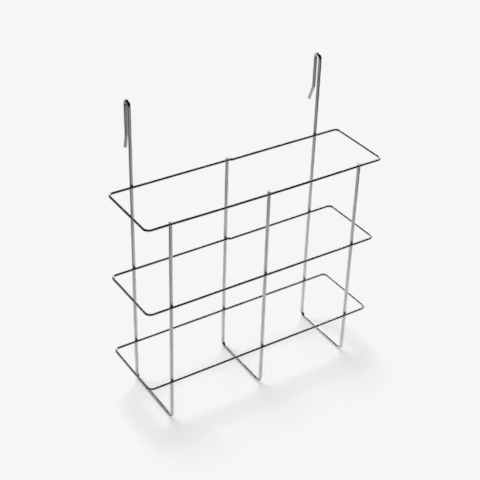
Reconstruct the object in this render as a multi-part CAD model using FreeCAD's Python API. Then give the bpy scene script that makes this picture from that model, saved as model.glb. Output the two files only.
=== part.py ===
import FreeCAD, Part
import math
import os

# Wire basket rack that hangs by two hooks from a mesh panel, a rail or the edge of a board.
#
# Three flat rings of thin wire stand one above the other. Three frames of thicker wire hold
# them: each frame runs down inside the rings' front, across under the basket and up behind
# the rings' back. The two outer frames go on above the top ring and fold over into hooks.
# Every place where a ring passes a frame is spot welded, and each ring is a length of bent
# wire whose two ends meet in one butt weld on its back run.
#
# Frame: millimetres, +X along the width, +Y towards the wall, +Z up.
# Origin: centre of the footprint box, on the surface that the frames' bottoms rest on.

# Wire
FRAME_WIRE = 4.0  # diameter of the frames' wire
RING_WIRE = 2.8  # diameter of the rings' wire

# Rings, measured between the wire's centre lines
RING_WIDTH = 312.0
RING_DEPTH = 87.0
RING_CORNER_RADIUS = 6.5
BOTTOM_RING_RISE = 57.5  # from the frames' bottom run up to the bottom ring
LOWER_TIER = 106.0  # from the bottom ring up to the middle ring
UPPER_TIER = 109.0  # from the middle ring up to the top ring
BUTT_JOINT_OFFSET = {"top": 3.5, "middle": 4.0, "bottom": 24.0}  # right of the middle
BUTT_JOINT_STEP = {"top": 0.8, "middle": 1.3, "bottom": 0.0}  # how low the right end was welded

# Frames
HOOK_SPACING = 250.0  # between the two hook frames' centre planes
FRAME_BEND_RADIUS = 7.0
LEG_END_RISE = 0.6  # how far a cut leg stands above the top ring's centre line
HOOK_RISE = 101.6  # from the top ring up to the hook's top
HOOK_PITCH = {"left": 8.2, "right": 8.7}  # between the upright and the return leg, centre to centre
RETURN_LENGTH = 42.5  # from the hook's top down to the return leg's kink
TIP_DROP = {"left": 16.0, "right": 19.0}
TIP_FLARE = {"left": 3.2, "right": 7.4}  # how far the tip leans out from the return leg
KINK_RADIUS = 9.0
TIP_ROUNDING = 1.5
CUT_ROUNDING = 0.15

# Welds
WELD_GAP = 0.1  # between the two wires at a crossing, filled by the weld
SPOT_WELD_RADIUS = 1.6
BUTT_GAP = 2.0  # between a ring's two ends, filled by the weld
BUTT_WELD_SWELL = 0.2  # how far the bead stands out past the wire

# Places worked out from the sizes above, before the footprint box is centred
CONTACT = (FRAME_WIRE + RING_WIRE) / 2 + WELD_GAP
RING_FRONT = -RING_DEPTH / 2
RING_BACK = RING_DEPTH / 2
LEG_FRONT = RING_FRONT + CONTACT
LEG_BACK = RING_BACK + CONTACT
BASE_Z = FRAME_WIRE / 2
RING_Z = {
    "bottom": BASE_Z + BOTTOM_RING_RISE,
    "middle": BASE_Z + BOTTOM_RING_RISE + LOWER_TIER,
    "top": BASE_Z + BOTTOM_RING_RISE + LOWER_TIER + UPPER_TIER,
}
FRAME_X = {"left": -HOOK_SPACING / 2, "centre": 0.0, "right": HOOK_SPACING / 2}
SIDES = {"front": (RING_FRONT, LEG_FRONT), "back": (RING_BACK, LEG_BACK)}


def rounded_path(points, radii):
    """Straight runs through the points, with an arc of the given radius at each inner point."""
    edges = []
    start = points[0]
    for corner, after, radius in zip(points[1:], points[2:], radii):
        into = (corner - start).normalize()
        out = (after - corner).normalize()
        half_turn = into.getAngle(out) / 2
        tangent = radius * math.tan(half_turn)
        arc_start = corner - into * tangent
        arc_end = corner + out * tangent
        inwards = (out - into).normalize()
        arc_middle = corner + inwards * (radius / math.cos(half_turn) - radius)
        if (arc_start - start).Length > 1e-6:
            edges.append(Part.LineSegment(start, arc_start).toShape())
        edges.append(Part.Arc(arc_start, arc_middle, arc_end).toShape())
        start = arc_end
    edges.append(Part.LineSegment(start, points[-1]).toShape())
    return Part.Wire(edges)


def bent_wire(path, diameter):
    """Round wire along a path, closed at both ends."""
    first = path.OrderedEdges[0]
    along = first.tangentAt(first.FirstParameter)
    section = Part.makeCircle(diameter / 2, first.firstVertex().Point, along)
    solid = path.makePipe(Part.Face(Part.Wire([section])))
    expected = math.pi * diameter ** 2 / 4 * path.Length
    if abs(solid.Volume / expected - 1) > 0.001:
        raise ValueError("the wire's volume is not its section times its length")
    return solid


def round_end(solid, end, rounding):
    """Rounds the edge of the cut end whose centre is at the given point."""
    rims = [e for e in solid.Edges if e.Closed and e.CenterOfMass.distanceToPoint(end) < 0.01]
    return solid.makeFillet(rounding, rims)


def make_ring(name):
    """A rounded rectangle of wire, open by the butt gap on its back run."""
    x, z = RING_WIDTH / 2, RING_Z[name]
    joint = BUTT_JOINT_OFFSET[name]
    outline = [
        (joint + BUTT_GAP / 2, RING_BACK, z - BUTT_JOINT_STEP[name]),
        (x, RING_BACK, z),
        (x, RING_FRONT, z),
        (-x, RING_FRONT, z),
        (-x, RING_BACK, z),
        (joint - BUTT_GAP / 2, RING_BACK, z),
    ]
    points = [FreeCAD.Vector(point) for point in outline]
    return bent_wire(rounded_path(points, [RING_CORNER_RADIUS] * 4), RING_WIRE)


def make_centre_frame(x):
    """A plain U, cut off just above the top ring at the front and the back."""
    top = RING_Z["top"] + LEG_END_RISE
    outline = [(LEG_FRONT, top), (LEG_FRONT, BASE_Z), (LEG_BACK, BASE_Z), (LEG_BACK, top)]
    points = [FreeCAD.Vector(x, y, z) for y, z in outline]
    solid = bent_wire(rounded_path(points, [FRAME_BEND_RADIUS] * 2), FRAME_WIRE)
    solid = round_end(solid, points[0], CUT_ROUNDING)
    return round_end(solid, points[-1], CUT_ROUNDING)


def make_hook_frame(name):
    """A U whose back leg goes on up, folds over towards the wall and ends in a flared tip."""
    x = FRAME_X[name]
    pitch = HOOK_PITCH[name]
    hook_top = RING_Z["top"] + HOOK_RISE
    kink = hook_top - RETURN_LENGTH
    back = LEG_BACK + pitch
    outline = [
        (LEG_FRONT, RING_Z["top"] + LEG_END_RISE),
        (LEG_FRONT, BASE_Z),
        (LEG_BACK, BASE_Z),
        (LEG_BACK, hook_top),
        (back, hook_top),
        (back, kink),
        (back + TIP_FLARE[name], kink - TIP_DROP[name]),
    ]
    points = [FreeCAD.Vector(x, y, z) for y, z in outline]
    radii = [FRAME_BEND_RADIUS, FRAME_BEND_RADIUS, pitch / 2, pitch / 2, KINK_RADIUS]
    solid = bent_wire(rounded_path(points, radii), FRAME_WIRE)
    solid = round_end(solid, points[0], CUT_ROUNDING)
    return round_end(solid, points[-1], TIP_ROUNDING)


def make_spot_weld(ring, frame, ring_y, leg_y, x, z, leg_end):
    """The metal squeezed out round the spot where a ring lies against a leg, up to its end."""
    towards_leg = math.copysign(1.0, leg_y - ring_y)
    spot = FreeCAD.Vector(x, ring_y + towards_leg * (RING_WIRE + WELD_GAP) / 2, z)
    width = 2 * SPOT_WELD_RADIUS
    corner = FreeCAD.Vector(x - width / 2, spot.y - width / 2, leg_end)
    squeezed = Part.makeSphere(SPOT_WELD_RADIUS, spot).cut(Part.makeBox(width, width, width, corner))
    return squeezed.cut(ring).cut(frame).Solids[0]


def make_butt_weld(name):
    """The bead that joins a ring's two ends, face to face with both."""
    joint, step = BUTT_JOINT_OFFSET[name], BUTT_JOINT_STEP[name]
    along = FreeCAD.Vector(1, 0, 0)
    sections = []
    for share, swell in ((-0.5, 0.0), (0.0, BUTT_WELD_SWELL), (0.5, 0.0)):
        x = joint + share * BUTT_GAP
        z = RING_Z[name] - (share + 0.5) * step
        circle = Part.makeCircle(RING_WIRE / 2 + swell, FreeCAD.Vector(x, RING_BACK, z), along)
        sections.append(Part.Wire([circle]))
    return Part.makeLoft(sections, True)


def make_parts():
    """Every piece of the rack by its node name, before the footprint box is centred."""
    rings = {name: make_ring(name) for name in RING_Z}
    frames = {
        "left": make_hook_frame("left"),
        "centre": make_centre_frame(FRAME_X["centre"]),
        "right": make_hook_frame("right"),
    }
    parts = {
        "left_hook_frame": frames["left"],
        "centre_frame": frames["centre"],
        "right_hook_frame": frames["right"],
    }
    for ring_name, ring in rings.items():
        parts[ring_name + "_ring"] = ring
        parts[ring_name + "_ring_butt_weld"] = make_butt_weld(ring_name)
        for frame_name, frame in frames.items():
            for side, (ring_y, leg_y) in SIDES.items():
                is_cut = side == "front" or frame_name == "centre"
                leg_end = RING_Z["top"] + (LEG_END_RISE if is_cut else HOOK_RISE)
                x, z = FRAME_X[frame_name], RING_Z[ring_name]
                weld = make_spot_weld(ring, frame, ring_y, leg_y, x, z, leg_end)
                parts["weld_" + ring_name + "_" + frame_name + "_" + side] = weld
    return parts


def main():
    parts = make_parts()
    whole = Part.makeCompound(list(parts.values())).optimalBoundingBox(False)
    to_origin = FreeCAD.Vector(0, -whole.Center.y, 0)
    os.makedirs("parts", exist_ok=True)
    for node, shape in parts.items():
        placed = shape.translated(to_origin)
        if not placed.isValid() or len(placed.Solids) != 1:
            raise ValueError(node + " is not one valid solid")
        placed.exportStep("parts/" + node + ".step")
    print("pieces", len(parts), "moved by", to_origin)
    print("size", whole.XLength, whole.YLength, whole.ZLength)


main()
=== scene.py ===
import math

import bpy
from mathutils import Matrix, Vector, noise


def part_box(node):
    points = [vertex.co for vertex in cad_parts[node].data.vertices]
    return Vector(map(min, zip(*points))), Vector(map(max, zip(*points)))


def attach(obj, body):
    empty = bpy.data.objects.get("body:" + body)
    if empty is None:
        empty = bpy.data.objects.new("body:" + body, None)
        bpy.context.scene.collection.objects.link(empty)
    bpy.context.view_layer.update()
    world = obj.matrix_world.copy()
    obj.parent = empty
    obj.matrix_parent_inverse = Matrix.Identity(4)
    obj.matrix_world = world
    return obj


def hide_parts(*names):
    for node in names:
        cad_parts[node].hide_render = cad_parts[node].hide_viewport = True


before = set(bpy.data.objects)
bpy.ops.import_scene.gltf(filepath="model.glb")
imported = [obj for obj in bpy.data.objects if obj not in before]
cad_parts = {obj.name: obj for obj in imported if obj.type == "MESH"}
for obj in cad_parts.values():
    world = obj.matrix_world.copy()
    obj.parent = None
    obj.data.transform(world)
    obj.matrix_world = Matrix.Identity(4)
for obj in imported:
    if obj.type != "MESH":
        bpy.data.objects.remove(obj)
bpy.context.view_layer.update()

# Wire basket that hangs by two folded hooks: one visible piece for each CAD node.
# Metres, in the CAD model's frame: +X along the width, +Y towards the wall, +Z up.
MM = 0.001
UP = Vector((0.0, 0.0, 1.0))
SIDEWAYS = Vector((1.0, 0.0, 0.0))
RINGS = ("bottom", "middle", "top")
FRAMES = ("left", "centre", "right")
SIDES = ("front", "back")

# Sizes of the CAD model that its boxes don't give
FRAME_RADIUS = 2.0 * MM
RING_RADIUS = 1.4 * MM
RING_CORNER = 6.5 * MM
FRAME_BEND = 7.0 * MM
LEG_END_RISE = 0.6 * MM
BUTT_GAP = 2.0 * MM
SMALLEST_STEP = 0.1 * MM  # a ring's ends are level if their heights differ by less
HOOK_PITCH = {"left": 8.2 * MM, "right": 8.7 * MM}
RETURN_LENGTH = 42.5 * MM
TIP_DROP = {"left": 16.0 * MM, "right": 19.0 * MM}
TIP_FLARE = {"left": 3.2 * MM, "right": 7.4 * MM}
KINK_RADIUS = 9.0 * MM
TIP_ROUNDING = 1.5 * MM

# How a wire is drawn
CUT_ROUNDING = 0.22 * MM
JOINT_ROUNDING = 0.05 * MM  # of a ring's two ends, which the butt weld covers
CUT_STEPS, TIP_STEPS = 3, 6  # loops that turn the edge over
FACE_DOME = ((0.02 * MM, 0.66), (0.035 * MM, 0.33))  # a cut face's rise, at a share of its radius
AROUND = 32  # vertices round a wire
RUN_STEP = 4.0 * MM  # longest stretch of straight wire between two loops
TURN_STEP = math.radians(4.0)  # largest turn between two loops of a bend
CLOSEST_LOOPS = 0.05 * MM
SHORTEST_RUN = 0.01 * MM
ON_RUN = 1.0 * MM  # how near a run's line a place counts as on it
FOLD_PLAY = 0.005 * MM  # how far a fold's radius is under half the pitch, to part its two arcs
BEND_SQUEEZE = 0.16  # how much a bend flattens the wire, times its radius over the bend's
MOST_SQUEEZE = 0.05
SQUEEZE_SPREAD = 0.3  # share of that flattening that goes into the wire's width

# How far a real wire strays from the CAD model's
WANDER = 0.16 * MM
WANDER_RATE = 14.0  # how quickly it changes, per metre
LEG_RATE = 0.8  # how quickly it does in a leg, against a ring
BETWEEN_LATTICE = 0.37  # noise is 0 at whole numbers, so it is read off them
FRONT_BOW = 0.9 * MM  # the top ring's front run hangs this much low at its middle
FOOT_HEIGHT = 40.0 * MM  # below this a leg strays less and less, down to the floor

# The speck of burr on the top ring's front run, right of the centre frame
BURR_X = 9.5 * MM
BURR_REACH = 1.6 * MM
BURR_STEP = 0.2 * MM
BURR_WIDTH = 0.7 * MM
BURR_HEIGHT = 0.55 * MM

# Spot welds
WELD_SIZE = 1.75 * MM
WELD_WAIST = 0.24
WELD_CLIMB = 0.95  # how much further the metal runs up and down the leg than the ring
WELD_CLIMB_POWER = 1.5  # above 1, most of that is near the leg
WELD_UNEVEN, WELD_LUMPS = 0.11, 1.4  # how uneven it is, and how quickly that changes round it
WELD_SUNK = 0.12 * MM  # how far the metal reaches into each wire
WELD_END_GAP = 0.05 * MM  # how far below a leg's end the metal stops
WELD_ON_WIRE = 0.93  # share of a wire's radius that the metal keeps within
WELD_CORE = 0.5  # share of a wire's radius at which the metal is closed inside it

# Butt welds: a bead, and on top the flash that was left standing
BEAD_HALF = 1.9 * MM
BEAD_SWELL = 0.30 * MM
SWELL_WIDTH = 0.75 * MM
BEAD_TAPER = 0.04 * MM  # how far the bead's two ends sink into the wire
BEAD_ROUGH = 0.07 * MM
ROUGH_WIDTH = 1.0 * MM
ROUGH_ALONG, ROUGH_ROUND = 1.7, 1.6  # how quickly it changes, per mm and round the bead
FLASH_HEIGHT = 0.38 * MM
FLASH_OFF = 0.15 * MM  # right of the joint
FLASH_WIDTH = 0.5 * MM
STEP_WIDTH = 1.6 * MM  # over which the joint steps from one end's height to the other's

# Seeds, so that no two wires or welds are alike
RING_SEED = 3.0
LEG_SEED = 11.0
WELD_SEED = 20.0
BEAD_SEED = 60.0

# Heat marks round the welds
MARKED_AT = 1.6 * MM  # fully marked up to here from a weld's middle
MARK_FADE = 5.0 * MM


def clamp(value, low=0.0, high=1.0):
    return min(max(value, low), high)


def eased(share):
    return share * share * (3 - 2 * share)


def bell(off, width):
    return math.exp(-(off / width) ** 2)


# ---------------------------------------------------------------- places from the CAD model

def middle(low, high, axis):
    return (low[axis] + high[axis]) / 2


def frame_node(name):
    return "centre_frame" if name == "centre" else name + "_hook_frame"


def ring_facts(name):
    """Centre line of a ring: half width, front and back y, height, butt joint's x and step."""
    low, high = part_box(name + "_ring")
    height = high.z - RING_RADIUS
    step = height - RING_RADIUS - low.z
    return {
        "half": high.x - RING_RADIUS,
        "front": low.y + RING_RADIUS,
        "back": high.y - RING_RADIUS,
        "z": height,
        "joint": middle(*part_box(name + "_ring_butt_weld"), 0),
        "step": step if step > SMALLEST_STEP else 0.0,
    }


RING = {name: ring_facts(name) for name in RINGS}
CENTRE_LOW, CENTRE_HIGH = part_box("centre_frame")
LEG_Y = {"front": CENTRE_LOW.y + FRAME_RADIUS, "back": CENTRE_HIGH.y - FRAME_RADIUS}
BASE_Z = CENTRE_LOW.z + FRAME_RADIUS
LEG_TOP = RING["top"]["z"] + LEG_END_RISE
HOOK_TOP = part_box("left_hook_frame")[1].z - FRAME_RADIUS
FRAME_X = {name: middle(*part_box(frame_node(name)), 0) for name in FRAMES}


# ---------------------------------------------------------------- how far a real wire strays

def wander(along, seed):
    return WANDER * noise.noise(Vector((along * WANDER_RATE, seed, BETWEEN_LATTICE)))


def ring_height(name, x, y):
    """Height of a ring's centre line at a place on it."""
    ring = RING[name]
    along = x + 2.0 * y  # not the distance, but it changes along every run
    z = ring["z"] + wander(along, RING_SEED + RINGS.index(name))
    if y > ring["back"] - ON_RUN and x > ring["joint"] and ring["step"]:
        reach = ring["half"] - ring["joint"]
        z -= ring["step"] * min((ring["half"] - x) / reach, 1.0)
    if name == "top" and y < ring["front"] + ON_RUN:
        z -= FRONT_BOW * max(0.0, 1.0 - (x / FRAME_X["right"]) ** 2)
    return z


def leg_x(name, z):
    """How far to the side a frame's legs are at a height; they don't stray on the floor."""
    fade = clamp((z - BASE_Z) / FOOT_HEIGHT)
    return FRAME_X[name] + fade * wander(z * LEG_RATE, LEG_SEED + FRAMES.index(name))


# ---------------------------------------------------------------- wire

def split_run(start, end, fine):
    """Points of a straight run, closer together near the places in fine."""
    length = (end - start).length
    count = max(1, math.ceil(length / RUN_STEP))
    shares = {round(i / count, 6) for i in range(count)}
    for place, reach, step in fine:
        along = (place - start).dot(end - start) / length
        if (start + (end - start) * (along / length) - place).length > ON_RUN:
            continue
        steps = int(reach / step)
        for i in range(-steps, steps + 1):
            share = (along + i * step) / length
            if 0.0 < share < 1.0:
                shares.add(round(share, 6))
    ordered = sorted(shares)
    kept = [ordered[0]]
    for share in ordered[1:]:
        if (share - kept[-1]) * length > CLOSEST_LOOPS:
            kept.append(share)
    return [start + (end - start) * share for share in kept]


def bent_path(corners, radii, fine=()):
    """Loop centres along straight runs and bends, with how tight the bend is at each."""
    points = []
    start = corners[0]
    for corner, after, radius in zip(corners[1:], corners[2:], radii):
        into = (corner - start).normalized()
        out = (after - corner).normalized()
        turn = into.angle(out)
        tangent = radius * math.tan(turn / 2)
        arc_start = corner - into * tangent
        if (arc_start - start).length > SHORTEST_RUN:
            points += [(p, 0.0) for p in split_run(start, arc_start, fine)]
        axis = into.cross(out).normalized()
        centre = arc_start + axis.cross(into) * radius
        steps = max(3, math.ceil(turn / TURN_STEP))
        for i in range(steps):
            spin = Matrix.Rotation(turn * i / steps, 3, axis)
            points.append((centre + spin @ (arc_start - centre), 1.0 / radius))
        start = corner + out * tangent
    points += [(p, 0.0) for p in split_run(start, corners[-1], fine)]
    points.append((corners[-1], 0.0))
    return points


def end_loops(end, outwards, rounding):
    """Loops that turn a wire's edge over at a cut end, from the wire out to the face's middle."""
    centre, tangent, bend, radius, along = end
    profile = []  # distance back from the cut face, radius
    steps = TIP_STEPS if rounding == TIP_ROUNDING else CUT_STEPS
    for i in range(steps + 1):
        a = math.pi / 2 * i / steps
        profile.append((rounding * (1 - math.sin(a)), radius - rounding * (1 - math.cos(a))))
    profile += [(-rise, (radius - rounding) * share) for rise, share in FACE_DOME]
    return [
        (centre - outwards * back, tangent, bend, loop_radius, along)
        for back, loop_radius in profile
    ]


def wire_loops(path, radius, roundings):
    """Every loop of a wire: its centre, tangent, bend, radius and distance along the wire."""
    points = [point for point, _ in path]
    loops = []
    along = 0.0
    for i, (point, bend) in enumerate(path):
        before = points[max(i - 1, 0)]
        after = points[min(i + 1, len(points) - 1)]
        if i:
            along += (point - before).length
        loops.append((point, (after - before).normalized(), bend, radius, along))
    first, last = loops[0], loops[-1]
    body_start = roundings[0] + CLOSEST_LOOPS
    body_end = along - (roundings[1] + CLOSEST_LOOPS)
    body = [loop for loop in loops if body_start < loop[-1] < body_end]
    start_cap = end_loops(first, -first[1], roundings[0])
    return start_cap[::-1] + body + end_loops(last, last[1], roundings[1])


def build_wire(name, path, radius, flat, roundings, swell=None):
    """Round wire along a path. flat is the normal of the plane that the wire is bent in."""
    loops = wire_loops(path, radius, roundings)
    verts, straight = [], []
    for centre, tangent, bend, loop_radius, along in loops:
        side = (flat - tangent * flat.dot(tangent)).normalized()
        inwards = side.cross(tangent)
        squeeze = min(MOST_SQUEEZE, BEND_SQUEEZE * bend * radius)
        for k in range(AROUND):
            a = 2 * math.pi * k / AROUND
            reach = loop_radius
            if swell:
                outward = side * math.cos(a) + inwards * math.sin(a)
                reach += swell(centre, outward) * loop_radius / radius
            oval = side * math.cos(a) * (1 + squeeze * SQUEEZE_SPREAD)
            oval += inwards * math.sin(a) * (1 - squeeze)
            verts.append(centre + oval * reach)
            straight.append((along, radius * math.cos(a), radius * math.sin(a)))
    for centre, _, _, _, along in (loops[0], loops[-1]):
        verts.append(centre)
        straight.append((along, 0.0, 0.0))

    faces = []
    for i in range(len(loops) - 1):
        for k in range(AROUND):
            n = (k + 1) % AROUND
            a, b = i * AROUND, (i + 1) * AROUND
            faces.append((a + k, a + n, b + n, b + k))
    start_centre, end_centre = len(verts) - 2, len(verts) - 1
    final = (len(loops) - 1) * AROUND
    for k in range(AROUND):
        n = (k + 1) % AROUND
        faces.append((start_centre, n, k))
        faces.append((end_centre, final + k, final + n))
    return make_object(name, verts, faces, straight)


def make_object(name, verts, faces, straight):
    """A smooth mesh piece. straight holds each vertex's place on the wire before it was bent."""
    mesh = bpy.data.meshes.new(name)
    mesh.from_pydata([tuple(v) for v in verts], [], faces)
    mesh.validate()
    mesh.shade_smooth()
    place = mesh.attributes.new("straight", "FLOAT_VECTOR", "POINT")
    place.data.foreach_set("vector", [c for co in straight for c in co])
    near = mesh.attributes.new("near_weld", "FLOAT", "POINT")
    near.data.foreach_set("value", [nearness(v) for v in verts])
    piece = bpy.data.objects.new(name, mesh)
    bpy.context.scene.collection.objects.link(piece)
    return piece


def weld_spots():
    """The middle of every weld."""
    spots = []
    for ring_name, ring in RING.items():
        for frame_name in FRAMES:
            for side in SIDES:
                y = ring[side] * FRAME_RADIUS + LEG_Y[side] * RING_RADIUS
                y /= FRAME_RADIUS + RING_RADIUS
                z = ring_height(ring_name, FRAME_X[frame_name], ring[side])
                spots.append(Vector((FRAME_X[frame_name], y, z)))
        spots.append(Vector((ring["joint"], ring["back"], ring["z"])))
    return spots


WELD_SPOTS = weld_spots()


def nearness(point):
    """1 at a weld, falling to 0 a few millimetres away."""
    closest = min((point - spot).length for spot in WELD_SPOTS)
    return eased(1.0 - clamp((closest - MARKED_AT) / MARK_FADE))


# ---------------------------------------------------------------- pieces

def build_ring(name):
    """A ring's wire, from one side of its butt joint round to the other."""
    ring = RING[name]
    half, front, back, z = ring["half"], ring["front"], ring["back"], ring["z"]
    joint = ring["joint"]
    corners = [
        Vector((joint + BUTT_GAP / 2, back, z)),
        Vector((half, back, z)),
        Vector((half, front, z)),
        Vector((-half, front, z)),
        Vector((-half, back, z)),
        Vector((joint - BUTT_GAP / 2, back, z)),
    ]
    burr = Vector((BURR_X, front, z))
    fine = [(burr, BURR_REACH, BURR_STEP)] if name == "top" else []
    path = [
        (Vector((p.x, p.y, ring_height(name, p.x, p.y))), bend)
        for p, bend in bent_path(corners, [RING_CORNER] * 4, fine)
    ]

    def swell(centre, outward):
        away = abs(centre.x - burr.x)
        if name != "top" or away > BURR_REACH or abs(centre.y - burr.y) > ON_RUN:
            return 0.0
        return BURR_HEIGHT * bell(away, BURR_WIDTH) * max(0.0, outward.z) ** 4

    ends = (JOINT_ROUNDING, JOINT_ROUNDING)
    return build_wire(name + "_ring_wire", path, RING_RADIUS, UP, ends, swell)


def build_frame(name):
    """A U of thick wire. The outer two go on up at the back and fold over into hooks."""
    outline = [
        (LEG_Y["front"], LEG_TOP),
        (LEG_Y["front"], BASE_Z),
        (LEG_Y["back"], BASE_Z),
    ]
    radii = [FRAME_BEND, FRAME_BEND]
    if name == "centre":
        outline.append((LEG_Y["back"], LEG_TOP))
        ends = (CUT_ROUNDING, CUT_ROUNDING)
    else:
        pitch = HOOK_PITCH[name]
        back = LEG_Y["back"] + pitch
        kink = HOOK_TOP - RETURN_LENGTH
        outline += [
            (LEG_Y["back"], HOOK_TOP),
            (back, HOOK_TOP),
            (back, kink),
            (back + TIP_FLARE[name], kink - TIP_DROP[name]),
        ]
        fold = pitch / 2 - FOLD_PLAY
        radii += [fold, fold, KINK_RADIUS]
        ends = (CUT_ROUNDING, TIP_ROUNDING)
    corners = [Vector((0, y, z)) for y, z in outline]
    path = [
        (Vector((leg_x(name, p.z), p.y, p.z)), bend)
        for p, bend in bent_path(corners, radii)
    ]
    return build_wire(frame_node(name) + "_wire", path, FRAME_RADIUS, SIDEWAYS, ends)


def build_spot_weld(node, ring_name, frame_name, side):
    """Metal squeezed out round the spot where a ring lies against a leg."""
    ring_y, leg_y = RING[ring_name][side], LEG_Y[side]
    towards = 1.0 if leg_y > ring_y else -1.0
    z = ring_height(ring_name, FRAME_X[frame_name], ring_y)
    x = leg_x(frame_name, z)
    seed = WELD_SEED + 7.0 * RINGS.index(ring_name) + 3.0 * FRAMES.index(frame_name)
    seed += side == "back"
    is_cut = side == "front" or frame_name == "centre"
    leg_end = (LEG_TOP if is_cut else HOOK_TOP) - z - WELD_END_GAP
    widest, tallest = FRAME_RADIUS * WELD_ON_WIRE, RING_RADIUS * WELD_ON_WIRE
    levels, turns = 8, 36
    verts = []
    for level in range(levels + 1):
        share = level / levels  # 0 on the ring, 1 on the leg
        waist = 1.0 - WELD_WAIST * math.sin(math.pi * share)
        for k in range(turns):
            a = 2 * math.pi * k / turns
            lump = Vector((math.cos(a) * WELD_LUMPS, math.sin(a) * WELD_LUMPS, seed))
            reach = WELD_SIZE * (1.0 + WELD_UNEVEN * noise.noise(lump)) * waist
            dx = clamp(reach * math.cos(a), -widest, widest)
            dz = clamp(reach * math.sin(a), -tallest, tallest)
            on_ring = ring_y + towards * math.sqrt(RING_RADIUS ** 2 - dz ** 2)
            on_leg = leg_y - towards * math.sqrt(FRAME_RADIUS ** 2 - dx ** 2)
            start, end = on_ring - towards * WELD_SUNK, on_leg + towards * WELD_SUNK
            dz = min(dz * (1.0 + WELD_CLIMB * share ** WELD_CLIMB_POWER), leg_end)
            verts.append(Vector((x + dx, start + (end - start) * share, z + dz)))
    verts += [
        Vector((x, ring_y + towards * RING_RADIUS * WELD_CORE, z)),
        Vector((x, leg_y - towards * FRAME_RADIUS * WELD_CORE, z)),
    ]
    faces = weld_faces(levels, turns, towards < 0)
    return make_object(node + "_fillet", verts, faces, [tuple(v) for v in verts])


def build_butt_weld(name):
    """The bead between a ring's two ends, which don't quite meet in height."""
    ring = RING[name]
    joint, back = ring["joint"], ring["back"]
    start, end = joint - BEAD_HALF, joint + BEAD_HALF
    z_left = ring_height(name, joint - BUTT_GAP, back)
    z_right = ring_height(name, joint + BUTT_GAP, back)
    levels, turns = 20, 36
    seed = BEAD_SEED + RINGS.index(name)
    verts, straight = [], []
    for level in range(levels + 1):
        x = start + (end - start) * (level / levels)
        off = x - joint
        z = z_left + (z_right - z_left) * eased(clamp(0.5 + off / STEP_WIDTH))
        bead = BEAD_SWELL * bell(off, SWELL_WIDTH) - BEAD_TAPER * abs(off) / BEAD_HALF
        for k in range(turns):
            a = 2 * math.pi * k / turns
            top = max(0.0, math.sin(a)) ** 3
            flash = FLASH_HEIGHT * top * bell(off - FLASH_OFF, FLASH_WIDTH)
            place = Vector((
                off / MM * ROUGH_ALONG, math.cos(a) * ROUGH_ROUND, seed + math.sin(a)
            ))
            rough = BEAD_ROUGH * noise.noise(place) * bell(off, ROUGH_WIDTH)
            reach = RING_RADIUS + bead + flash + rough
            verts.append(Vector((x, back + reach * math.cos(a), z + reach * math.sin(a))))
            straight.append((x, RING_RADIUS * math.cos(a), RING_RADIUS * math.sin(a)))
    verts += [Vector((start, back, ring["z"])), Vector((end, back, ring["z"] - ring["step"]))]
    straight += [(start, 0.0, 0.0), (end, 0.0, 0.0)]
    faces = weld_faces(levels, turns, True)
    return make_object(name + "_ring_butt_weld_bead", verts, faces, straight)


def weld_faces(levels, turns, turned):
    """Faces of a stack of loops closed by a fan at each end, whose centres come last."""
    faces = []
    for i in range(levels):
        for k in range(turns):
            n = (k + 1) % turns
            a, b = i * turns, (i + 1) * turns
            faces.append((a + k, b + k, b + n, a + n))
    last = levels * turns
    start_centre, end_centre = last + turns, last + turns + 1
    for k in range(turns):
        n = (k + 1) % turns
        faces.append((start_centre, k, n))
        faces.append((end_centre, last + n, last + k))
    if turned:
        faces = [face[::-1] for face in faces]
    return faces


# ---------------------------------------------------------------- materials

class Nodes:
    """Short calls for making and joining the nodes of a material or a world."""

    def __init__(self, owner):
        owner.use_nodes = True
        self.tree = owner.node_tree
        self.tree.nodes.clear()

    def add(self, kind, **settings):
        node = self.tree.nodes.new(kind)
        for key, value in settings.items():
            setattr(node, key, value)
        return node

    def join(self, out, into):
        self.tree.links.new(out, into)

    def noise_at(self, place, scale, detail, roughness):
        node = self.add("ShaderNodeTexNoise")
        node.inputs["Scale"].default_value = scale
        node.inputs["Detail"].default_value = detail
        node.inputs["Roughness"].default_value = roughness
        self.join(place, node.inputs["Vector"])
        return node.outputs["Fac"]

    def stretched(self, place, scale):
        node = self.add("ShaderNodeMapping")
        node.inputs["Scale"].default_value = scale
        self.join(place, node.inputs["Vector"])
        return node.outputs["Vector"]

    def along(self, place, direction):
        """How far a place is in a direction."""
        node = self.add("ShaderNodeVectorMath", operation="DOT_PRODUCT")
        node.inputs[1].default_value = direction
        self.join(place, node.inputs[0])
        return node.outputs["Value"]

    def spread(self, value, low, high, to_low, to_high):
        node = self.add("ShaderNodeMapRange")
        node.inputs["From Min"].default_value = low
        node.inputs["From Max"].default_value = high
        node.inputs["To Min"].default_value = to_low
        node.inputs["To Max"].default_value = to_high
        self.join(value, node.inputs["Value"])
        return node.outputs["Result"]

    def maths(self, operation, first, second):
        node = self.add("ShaderNodeMath", operation=operation)
        for socket, value in zip(node.inputs, (first, second)):
            if isinstance(value, float):
                socket.default_value = value
            else:
                self.join(value, socket)
        return node.outputs["Value"]

    def mixed(self, share, first, second):
        node = self.add("ShaderNodeMix", data_type="RGBA")
        self.join(share, node.inputs["Factor"])
        for socket, value in ((node.inputs["A"], first), (node.inputs["B"], second)):
            if isinstance(value, tuple):
                socket.default_value = value
            else:
                self.join(value, socket)
        return node.outputs["Result"]

    def mixed_shaders(self, share, first, second):
        """share is a number or a socket: 0 gives the first shader, 1 the second."""
        node = self.add("ShaderNodeMixShader")
        if isinstance(share, float):
            node.inputs["Fac"].default_value = share
        else:
            self.join(share, node.inputs["Fac"])
        self.join(first, node.inputs[1])
        self.join(second, node.inputs[2])
        return node.outputs["Shader"]


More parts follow.
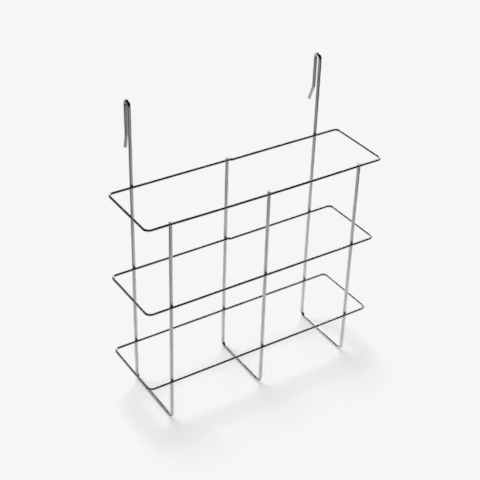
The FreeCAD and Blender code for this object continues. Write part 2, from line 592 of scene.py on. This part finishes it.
CLEAN_CHROME = (0.60, 0.605, 0.61)
WORN_CHROME = (0.60, 0.60, 0.595)
DIRT = (0.55, 0.53, 0.50)
WORN_TONE = 0.86
DIRT_TONE = 0.42

# Each pattern's stretch per metre, along the wire and across it
LINES_STRETCH = (90.0, 5200.0, 5200.0)  # scored into the wire by the die that drew it
WAVES_STRETCH = (150.0, 420.0, 420.0)
CLOUD_STRETCH = (45.0, 200.0, 200.0)
GRAIN_SCALE = 4200.0
SPECK_SCALE = 1500.0

# Ranges of a pattern's value, and after them what they are spread to
CLOUD_COLOUR = (0.38, 0.64, 0.0, 1.0)
SPECKS = (0.66, 0.74, 0.0, 1.0)
CLOUD_GLOSS = (0.3, 0.7)
LINES_GLOSS = (0.35, 0.65, -0.02, 0.03)
GRAIN_HEAT = (0.3, 0.7)
GLOSS_LEAST, GLOSS_MOST = 0.75, 1.35  # times the material's own
HEAT_LEAST, HEAT_MOST = 0.15, 0.75

BUMP_UNIT = 0.001 * MM  # of the three heights below and of drawn
WAVES_HEIGHT = 6.0
SPECK_DEPTH = 1.2
GRAIN_HEIGHT = 3.0
SPECK_ROUGHNESS = 0.22
HEAT_ROUGHNESS = 0.14
CHROME_IOR = 2.2


def toned(colour, tone, share=1.0):
    return tuple(c * tone * share for c in colour) + (1.0,)


def chrome_material(name, gloss, tone, drawn, pitted, marked):
    """Chrome plate over drawn steel wire: die lines along it, soft waves, specks, heat marks.

    gloss is the plate's roughness, drawn the depth of the die lines, pitted the strength of the
    specks and marked that of the heat marks.
    """
    material = bpy.data.materials.new(name)
    n = Nodes(material)
    out = n.add("ShaderNodeOutputMaterial")
    shader = n.add("ShaderNodeBsdfPrincipled")
    n.join(shader.outputs["BSDF"], out.inputs["Surface"])
    place = n.add("ShaderNodeAttribute", attribute_name="straight").outputs["Vector"]
    near = n.add("ShaderNodeAttribute", attribute_name="near_weld").outputs["Fac"]

    lines = n.noise_at(n.stretched(place, LINES_STRETCH), 1.0, detail=4.0, roughness=0.6)
    waves = n.noise_at(n.stretched(place, WAVES_STRETCH), 1.0, detail=2.0, roughness=0.5)
    cloud = n.noise_at(n.stretched(place, CLOUD_STRETCH), 1.0, detail=3.0, roughness=0.6)
    grain = n.noise_at(place, GRAIN_SCALE, detail=2.0, roughness=0.5)
    specks = n.noise_at(place, SPECK_SCALE, detail=2.0, roughness=0.5)
    speck = n.spread(specks, *SPECKS)

    clean = toned(CLEAN_CHROME, tone)
    worn = toned(WORN_CHROME, tone, WORN_TONE)
    dirt = toned(DIRT, tone, DIRT_TONE)
    colour = n.mixed(n.spread(cloud, *CLOUD_COLOUR), clean, worn)
    soiled = n.maths("MULTIPLY", speck, pitted)
    heat = n.spread(grain, *GRAIN_HEAT, HEAT_LEAST * marked, HEAT_MOST * marked)
    heat = n.maths("MULTIPLY", near, heat)
    colour = n.mixed(n.maths("MAXIMUM", soiled, heat), colour, dirt)
    n.join(colour, shader.inputs["Base Color"])

    rough = n.spread(cloud, *CLOUD_GLOSS, gloss * GLOSS_LEAST, gloss * GLOSS_MOST)
    rough = n.maths("ADD", rough, n.spread(lines, *LINES_GLOSS))
    rough = n.maths("ADD", rough, n.maths("MULTIPLY", near, HEAT_ROUGHNESS * marked))
    rough = n.maths("ADD", rough, n.maths("MULTIPLY", speck, SPECK_ROUGHNESS))
    n.join(rough, shader.inputs["Roughness"])

    pits = n.maths("MULTIPLY", speck, SPECK_DEPTH * pitted)
    scale = n.maths("MULTIPLY", n.maths("MULTIPLY", grain, near), GRAIN_HEIGHT * marked)
    height = n.maths("MULTIPLY", lines, drawn)
    height = n.maths("ADD", height, n.maths("MULTIPLY", waves, WAVES_HEIGHT))
    height = n.maths("SUBTRACT", height, pits)
    height = n.maths("ADD", height, scale)
    bump = n.add("ShaderNodeBump")
    bump.inputs["Strength"].default_value = 1.0
    bump.inputs["Distance"].default_value = BUMP_UNIT
    n.join(height, bump.inputs["Height"])
    n.join(bump.outputs["Normal"], shader.inputs["Normal"])

    shader.inputs["Metallic"].default_value = 1.0
    shader.inputs["IOR"].default_value = CHROME_IOR
    shader.inputs["Specular IOR Level"].default_value = 0.5
    return material


# The thin wire is the same chrome as the thick wire; its lower tone is painted shade for the dark
# room that its runs mirror.
RING_SHADED_CHROME = chrome_material(
    "chrome_thin_wire_painted_shade", gloss=0.09, tone=0.74, drawn=1.6, pitted=0.5, marked=0.5)
FRAME_CHROME = chrome_material(
    "chrome_thick_wire", gloss=0.17, tone=1.05, drawn=2.4, pitted=0.6, marked=0.5)
WELD_CHROME = chrome_material(
    "chrome_weld", gloss=0.24, tone=0.50, drawn=1.0, pitted=1.0, marked=1.0)


def dress(piece, material, node):
    piece.data.materials.clear()
    piece.data.materials.append(material)
    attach(piece, "root")
    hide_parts(node)


# ---------------------------------------------------------------- the basket

for ring_name in RINGS:
    dress(build_ring(ring_name), RING_SHADED_CHROME, ring_name + "_ring")
    weld = build_butt_weld(ring_name)
    dress(weld, WELD_CHROME, ring_name + "_ring_butt_weld")
    for frame_name in FRAMES:
        for side in SIDES:
            node = "weld_" + ring_name + "_" + frame_name + "_" + side
            weld = build_spot_weld(node, ring_name, frame_name, side)
            dress(weld, WELD_CHROME, node)
for frame_name in ("centre", "left", "right"):
    dress(build_frame(frame_name), FRAME_CHROME, frame_node(frame_name))


# ---------------------------------------------------------------- camera

VIEW_AZIMUTH = math.radians(-33.77)
VIEW_ELEVATION = math.radians(33.12)
VIEW_ROLL = math.radians(1.87)
AIM = Vector((-10.3, -10.35, 192.35)) * MM
DISTANCE = 1275.3 * MM
LENS, SENSOR_WIDTH = 82.27, 36.0  # both in mm
NEAREST_SEEN = 10.0 * MM

TOWARDS_CAMERA = Vector((
    math.sin(VIEW_AZIMUTH) * math.cos(VIEW_ELEVATION),
    -math.cos(VIEW_AZIMUTH) * math.cos(VIEW_ELEVATION),
    math.sin(VIEW_ELEVATION),
))
ACROSS = Vector((math.cos(VIEW_AZIMUTH), math.sin(VIEW_AZIMUTH), 0.0))  # to its right, level
AWAY = Vector((-TOWARDS_CAMERA.x, -TOWARDS_CAMERA.y, 0.0)).normalized()  # from it, level


def make_camera():
    """The photograph's camera, rolled a little to one side."""
    level_up = TOWARDS_CAMERA.cross(ACROSS)
    view_right = ACROSS * math.cos(VIEW_ROLL) + level_up * math.sin(VIEW_ROLL)
    view_up = level_up * math.cos(VIEW_ROLL) - ACROSS * math.sin(VIEW_ROLL)
    camera_data = bpy.data.cameras.new("camera")
    camera_data.lens = LENS
    camera_data.sensor_width = SENSOR_WIDTH
    camera_data.clip_start = NEAREST_SEEN
    camera_data.dof.use_dof = False
    camera = bpy.data.objects.new("camera", camera_data)
    turned = Matrix((view_right, view_up, TOWARDS_CAMERA)).transposed().to_4x4()
    camera.matrix_world = Matrix.Translation(AIM + TOWARDS_CAMERA * DISTANCE) @ turned
    bpy.context.scene.collection.objects.link(camera)
    bpy.context.scene.camera = camera


# ---------------------------------------------------------------- studio
# Its places are metres across and away from the basket, as the photograph's camera stands.

FLOOR_LEVEL = 1.0  # brightness of the floor where nothing shades it
FLOOR_GLOW = 0.6  # share of the floor's brightness that comes from below, as on a light table
FLOOR_TONE = 0.80
FLOOR_Z = -0.25 * MM
FLOOR_REACH = 14.0
SKY_SHARE = 0.22  # how much of the floor's light comes from all round, the rest from the key
KEY_FROM = (AWAY * 0.33 - ACROSS * 0.17 + UP).normalized()
KEY_ANGLE = math.radians(30.0)
DARK = 0.012  # what the metal sees past the cards

PAPER_WHITE = 0.921  # what the floor's level is printed as
# a tone and what it is printed as: mid tones as they are, the floor's faint shades deepened
PRINTED = ((0.60, 0.60), (0.88, 0.76), (0.94, 0.83), (0.972, PAPER_WHITE))

# The table card lies flat, brighter further back, and fades out at its left, right and front.
# Beside the frames' bottom runs it carries painted shadow.
TABLE_HALF_WIDTH, TABLE_NEAR, TABLE_FAR = 3.0, -2.0, 3.0
TABLE_GREY = (-0.45, 0.45, 0.46, 1.15)  # from, to, and the brightness at each
TABLE_LEFT_FADE = (-0.50, -0.22, 0.08, 1.0)  # from, to, and the share of light at each
TABLE_RIGHT_FADE = (0.30, 0.62, 1.0, 0.12)
TABLE_FRONT_FADE = (-1.1, -0.8, 0.2, 1.0)
# Painted shadow on the table card, to the left of each frame's bottom run:
RUN_SHADE = {"left": 0.35, "centre": 0.45, "right": 0.9}  # share of light left beside each run
RUN_SHADE_FROM, RUN_SHADE_TO = -9.0 * MM, -2.5 * MM  # to the left of the run
RUN_HALF_CLEAR = 0.5 * MM
RUN_END_FADE = 6.0 * MM

# The wall stands behind: three cards side by side, and a strip above them.
WALL_DEPTH = 0.95
WALL_HEIGHT = 0.74
WALL_LEFT = -0.42
WALL_CARDS = (  # from, to, brightness
    ("left_wall_card", WALL_LEFT, -0.12, 0.65),
    ("middle_wall_card", -0.12, 0.25, 0.08),
    ("right_wall_card", 0.25, 0.64, 3.0),
)
STRIP_LEFT, STRIP_RIGHT, STRIP_LOW, STRIP_HIGH = -0.22, 0.32, 0.84, 1.02
STRIP = 5.0

# The wing stands at the wall's left end, and the low wing in front of the wing.
WING_LEFT, WING_NEAR = -0.45, 0.32
WING = 0.9
LOW_WING_LEFT, LOW_WING_NEAR, LOW_WING_HEIGHT = -0.46, -0.15, 0.29
LOW_WING = 0.45

# The softbox leans over the right end of the wall.
SOFTBOX_ACROSS, SOFTBOX_AWAY, SOFTBOX_RISE = 0.52, 0.86, 0.86
SOFTBOX_LEAN = 0.5
SOFTBOX_HALF_WIDTH, SOFTBOX_HALF_HEIGHT = 0.15, 0.26
SOFTBOX = 5.0


def stage_sheet(name, corners):
    mesh = bpy.data.meshes.new(name)
    mesh.from_pydata([tuple(c) for c in corners], [], [(0, 1, 2, 3)])
    sheet = bpy.data.objects.new(name, mesh)
    bpy.context.scene.collection.objects.link(sheet)
    return sheet


def make_floor():
    """Paper lit from above and, as on a light table, from below."""
    floor = stage_sheet("floor", [
        (-FLOOR_REACH, -FLOOR_REACH, FLOOR_Z),
        (FLOOR_REACH, -FLOOR_REACH, FLOOR_Z),
        (FLOOR_REACH, FLOOR_REACH, FLOOR_Z),
        (-FLOOR_REACH, FLOOR_REACH, FLOOR_Z),
    ])
    material = bpy.data.materials.new("pale_floor")
    n = Nodes(material)
    out = n.add("ShaderNodeOutputMaterial")
    paper = n.add("ShaderNodeBsdfDiffuse")
    paper.inputs["Color"].default_value = (FLOOR_TONE, FLOOR_TONE, FLOOR_TONE, 1.0)
    glow = n.add("ShaderNodeEmission")
    glow.inputs["Strength"].default_value = FLOOR_LEVEL
    both = n.mixed_shaders(FLOOR_GLOW, paper.outputs["BSDF"], glow.outputs["Emission"])
    n.join(both, out.inputs["Surface"])
    floor.data.materials.append(material)
    floor.visible_glossy = False


def make_card(name, corners, strength):
    """A sheet that only the metal sees. strength is a number, or makes the nodes that give it."""
    card = stage_sheet(name, corners)
    material = bpy.data.materials.new(name)
    n = Nodes(material)
    out = n.add("ShaderNodeOutputMaterial")
    shader = n.add("ShaderNodeEmission")
    if isinstance(strength, float):
        shader.inputs["Strength"].default_value = strength
    else:
        n.join(strength(n), shader.inputs["Strength"])
    n.join(shader.outputs["Emission"], out.inputs["Surface"])
    card.data.materials.append(material)
    for kind in ("camera", "diffuse", "transmission", "volume_scatter", "shadow"):
        setattr(card, "visible_" + kind, False)


def painted_shadow_beside_runs(n, place):
    """Painted shadow on the table card beside the frames' bottom runs, where they lie on the
    paper: the share of light it leaves.
    """
    split = n.add("ShaderNodeSeparateXYZ")
    n.join(place, split.inputs["Vector"])
    middle_y = (LEG_Y["front"] + LEG_Y["back"]) / 2
    half_run = (LEG_Y["back"] - LEG_Y["front"]) / 2
    off_middle = n.maths("ABSOLUTE", n.maths("SUBTRACT", split.outputs["Y"], middle_y), 0.0)
    past_end = n.spread(off_middle, half_run, half_run + RUN_END_FADE, 0.0, 1.0)
    shade = 1.0
    for name, darkest in RUN_SHADE.items():
        to_right = n.maths("SUBTRACT", split.outputs["X"], FRAME_X[name])
        beside = n.spread(to_right, RUN_SHADE_FROM, RUN_SHADE_TO, 1.0, darkest)
        clear = n.spread(to_right, -RUN_HALF_CLEAR, RUN_HALF_CLEAR, 0.0, 1.0)
        lit = n.maths("MAXIMUM", n.maths("MAXIMUM", beside, clear), past_end)
        shade = n.maths("MULTIPLY", lit, shade)
    return shade


def table_light(n):
    """Brightness of the table card, with its painted shadow beside the bottom runs."""
    place = n.add("ShaderNodeNewGeometry").outputs["Position"]
    across, away = n.along(place, ACROSS), n.along(place, AWAY)
    grey = n.spread(away, *TABLE_GREY)
    left = n.spread(across, *TABLE_LEFT_FADE)
    right = n.spread(across, *TABLE_RIGHT_FADE)
    front = n.spread(away, *TABLE_FRONT_FADE)
    edges = n.maths("MULTIPLY", n.maths("MULTIPLY", left, right), front)
    return n.maths("MULTIPLY", grey, n.maths("MULTIPLY", edges, painted_shadow_beside_runs(n, place)))


def on_floor(across, away):
    return ACROSS * across + AWAY * away


def upright(start, end, low, high):
    """Corners of an upright sheet over two places on the floor."""
    return [start + UP * low, end + UP * low, end + UP * high, start + UP * high]


def make_cards():
    make_card("table_card", [
        on_floor(-TABLE_HALF_WIDTH, TABLE_NEAR),
        on_floor(TABLE_HALF_WIDTH, TABLE_NEAR),
        on_floor(TABLE_HALF_WIDTH, TABLE_FAR),
        on_floor(-TABLE_HALF_WIDTH, TABLE_FAR),
    ], table_light)
    for name, left, right, strength in WALL_CARDS:
        start, end = on_floor(left, WALL_DEPTH), on_floor(right, WALL_DEPTH)
        make_card(name, upright(start, end, 0.0, WALL_HEIGHT), strength)
    start, end = on_floor(STRIP_LEFT, WALL_DEPTH), on_floor(STRIP_RIGHT, WALL_DEPTH)
    make_card("strip_card", upright(start, end, STRIP_LOW, STRIP_HIGH), STRIP)
    start, end = on_floor(WING_LEFT, WING_NEAR), on_floor(WALL_LEFT, WALL_DEPTH)
    make_card("wing_card", upright(start, end, 0.0, WALL_HEIGHT), WING)
    start, end = on_floor(LOW_WING_LEFT, LOW_WING_NEAR), on_floor(LOW_WING_LEFT, WING_NEAR)
    make_card("low_wing_card", upright(start, end, 0.0, LOW_WING_HEIGHT), LOW_WING)

    below = on_floor(SOFTBOX_ACROSS, SOFTBOX_AWAY)
    centre = below + UP * SOFTBOX_RISE
    aside = ACROSS * SOFTBOX_HALF_WIDTH
    above = (UP * SOFTBOX_RISE - below * SOFTBOX_LEAN).normalized() * SOFTBOX_HALF_HEIGHT
    make_card("softbox_card", [
        centre - aside - above,
        centre + aside - above,
        centre + aside + above,
        centre - aside + above,
    ], SOFTBOX)


def make_key():
    """Soft light from overhead and a little behind, which the metal doesn't see."""
    key_data = bpy.data.lights.new("key", "SUN")
    key_data.angle = KEY_ANGLE
    key_data.energy = (1.0 - SKY_SHARE) * FLOOR_LEVEL / FLOOR_TONE * math.pi / KEY_FROM.z
    key = bpy.data.objects.new("key", key_data)
    key.rotation_euler = KEY_FROM.to_track_quat("Z", "Y").to_euler()
    key.visible_glossy = False
    bpy.context.scene.collection.objects.link(key)


def make_world():
    """The room: pale to the camera, even light on the floor, dark to the metal."""
    world = bpy.data.worlds.new("studio")
    bpy.context.scene.world = world
    n = Nodes(world)
    out = n.add("ShaderNodeOutputWorld")
    rays = n.add("ShaderNodeLightPath")
    shades = []
    for strength in (SKY_SHARE * FLOOR_LEVEL / FLOOR_TONE, FLOOR_LEVEL, DARK):
        shade = n.add("ShaderNodeBackground")
        shade.inputs["Color"].default_value = (1.0, 1.0, 1.0, 1.0)
        shade.inputs["Strength"].default_value = strength
        shades.append(shade.outputs["Background"])
    even, pale, dark = shades
    seen = n.mixed_shaders(rays.outputs["Is Camera Ray"], even, pale)
    room = n.mixed_shaders(rays.outputs["Is Glossy Ray"], seen, dark)
    n.join(room, out.inputs["Surface"])


def print_tones(settings):
    """Prints the pale floor as one paper white, as a bright product picture is printed."""
    settings.view_transform = "Standard"
    settings.look = "None"
    settings.use_curve_mapping = True
    curves = settings.curve_mapping
    curves.clip_max_x = 1.0
    curve = curves.curves[3]
    curve.points[1].location = (1.0, PAPER_WHITE)
    for tone, printed in PRINTED:
        curve.points.new(tone, printed)
    for point in curve.points:
        point.handle_type = "VECTOR"
    curves.update()


make_camera()
make_floor()
make_cards()
make_key()
make_world()
print_tones(bpy.context.scene.view_settings)
